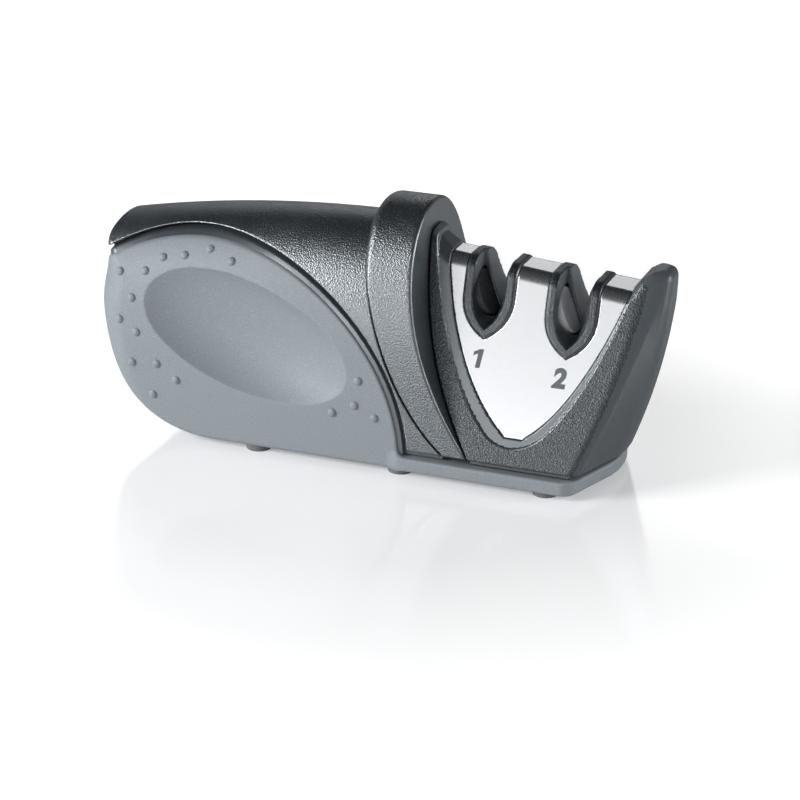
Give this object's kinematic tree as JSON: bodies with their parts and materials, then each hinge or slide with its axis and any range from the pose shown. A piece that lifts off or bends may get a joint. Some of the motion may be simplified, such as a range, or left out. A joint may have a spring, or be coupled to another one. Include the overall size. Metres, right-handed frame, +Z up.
{
  "type": "knife sharpener",
  "caption": "Hand-held two-stage knife sharpener with an arched handle, thumb scoops, a steel-faced head and slanted abrasive wheels in V slots.",
  "frame": {"origin": "on the table under the middle of the sharpener's box", "axes": "+X from the handle to the sharpening head, Y along the knife's stroke, +Z up"},
  "size_m": [0.1638, 0.052, 0.0724],
  "materials": {
    "grey_plastic": "matt silver-grey, lightly speckled",
    "black_plastic": "anthracite, spark-eroded grain",
    "brushed_plate": "finely brushed",
    "pin_steel": "ground",
    "screw_steel": "zinc plated",
    "coarse_abrasive": "coarse grit",
    "fine_abrasive": "fine grit",
    "foot_rubber": "matt"
  },
  "bodies": {
    "frame": {"handle_shell": "grey_plastic", "top_cover": "black_plastic", "collar": "black_plastic", "head_housing": "black_plastic", "face_plate": "brushed_plate", "slot_guide_1": "black_plastic", "slot_guide_2": "black_plastic", "coarse_wheel_left_pin": "pin_steel", "coarse_wheel_right_pin": "pin_steel", "fine_wheel_left_pin": "pin_steel", "fine_wheel_right_pin": "pin_steel", "foot_1": "foot_rubber", "foot_2": "foot_rubber", "foot_3": "foot_rubber", "foot_4": "foot_rubber", "foot_5": "foot_rubber", "foot_6": "foot_rubber", "screw_1": "screw_steel", "screw_2": "screw_steel", "screw_3": "screw_steel", "screw_4": "screw_steel"},
    "coarse_wheel_left": {"coarse_wheel_left": "coarse_abrasive"},
    "coarse_wheel_right": {"coarse_wheel_right": "coarse_abrasive"},
    "fine_wheel_left": {"fine_wheel_left": "fine_abrasive"},
    "fine_wheel_right": {"fine_wheel_right": "fine_abrasive"}
  },
  "joints": [
    {"name": "coarse_wheel_left_spin", "type": "hinge", "parent": "frame", "child": "coarse_wheel_left", "pos_m": [0.02988, -0.0007, 0.04795], "axis": [0.9397, 0, 0.342], "continuous": true},
    {"name": "coarse_wheel_right_spin", "type": "hinge", "parent": "frame", "child": "coarse_wheel_right", "pos_m": [0.03573, 0.0007, 0.04795], "axis": [-0.9397, 0, 0.342], "continuous": true},
    {"name": "fine_wheel_left_spin", "type": "hinge", "parent": "frame", "child": "fine_wheel_left", "pos_m": [0.05348, -0.0007, 0.04577], "axis": [0.9397, 0, 0.342], "continuous": true},
    {"name": "fine_wheel_right_spin", "type": "hinge", "parent": "frame", "child": "fine_wheel_right", "pos_m": [0.05933, 0.0007, 0.04577], "axis": [-0.9397, 0, 0.342], "continuous": true}
  ]
}
